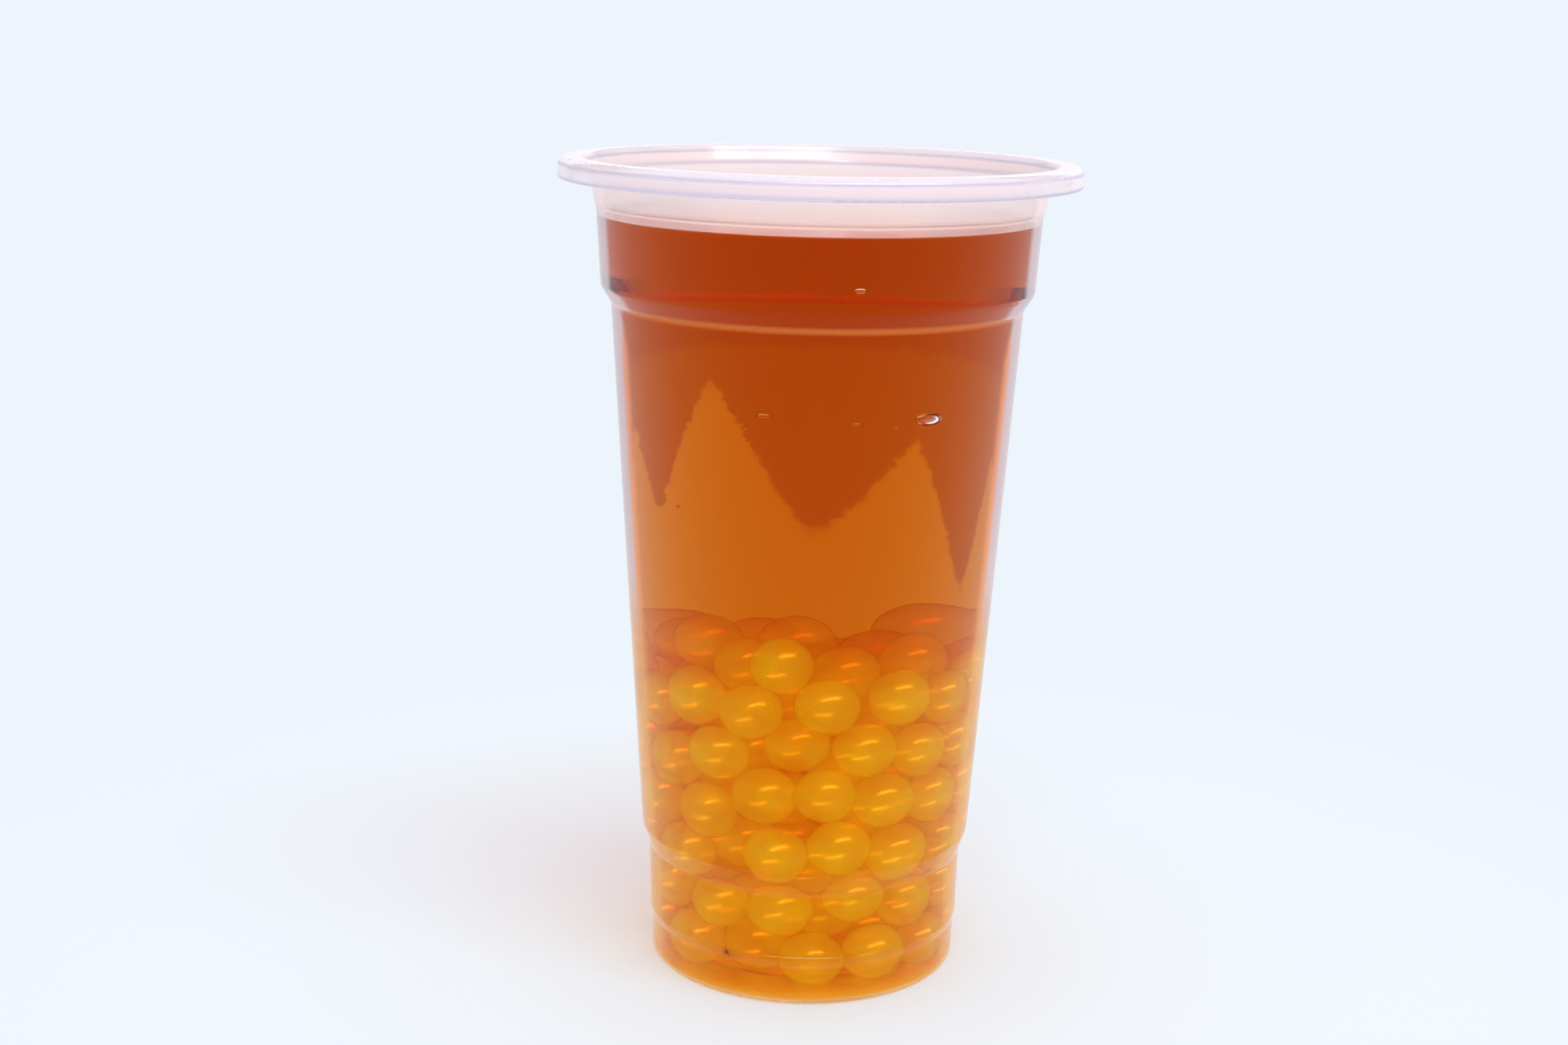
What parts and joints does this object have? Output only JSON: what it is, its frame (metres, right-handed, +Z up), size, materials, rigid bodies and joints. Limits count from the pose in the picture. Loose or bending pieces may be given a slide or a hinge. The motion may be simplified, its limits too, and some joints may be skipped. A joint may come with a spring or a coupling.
{
  "type": "iced tea with popping pearls in a clear plastic cup",
  "caption": "Tall clear takeaway cup with a flanged rim and stacking steps, filled with iced tea over a bed of round pearls.",
  "frame": {"origin": "middle of the ring that the cup stands on, at the height of the table", "axes": "+Z up along the cup's axis; +X to the right and -Y towards the viewer, though the cup is round"},
  "size_m": [0.095, 0.095, 0.1523],
  "materials": {
    "cup_plastic": "clear, faintly milky moulded polypropylene",
    "tea": "clear amber-brown tea",
    "pearls": "soft translucent fruit-juice pearls"
  },
  "bodies": {
    "root": {"cup": "cup_plastic", "tea": "tea"}
  },
  "joints": []
}
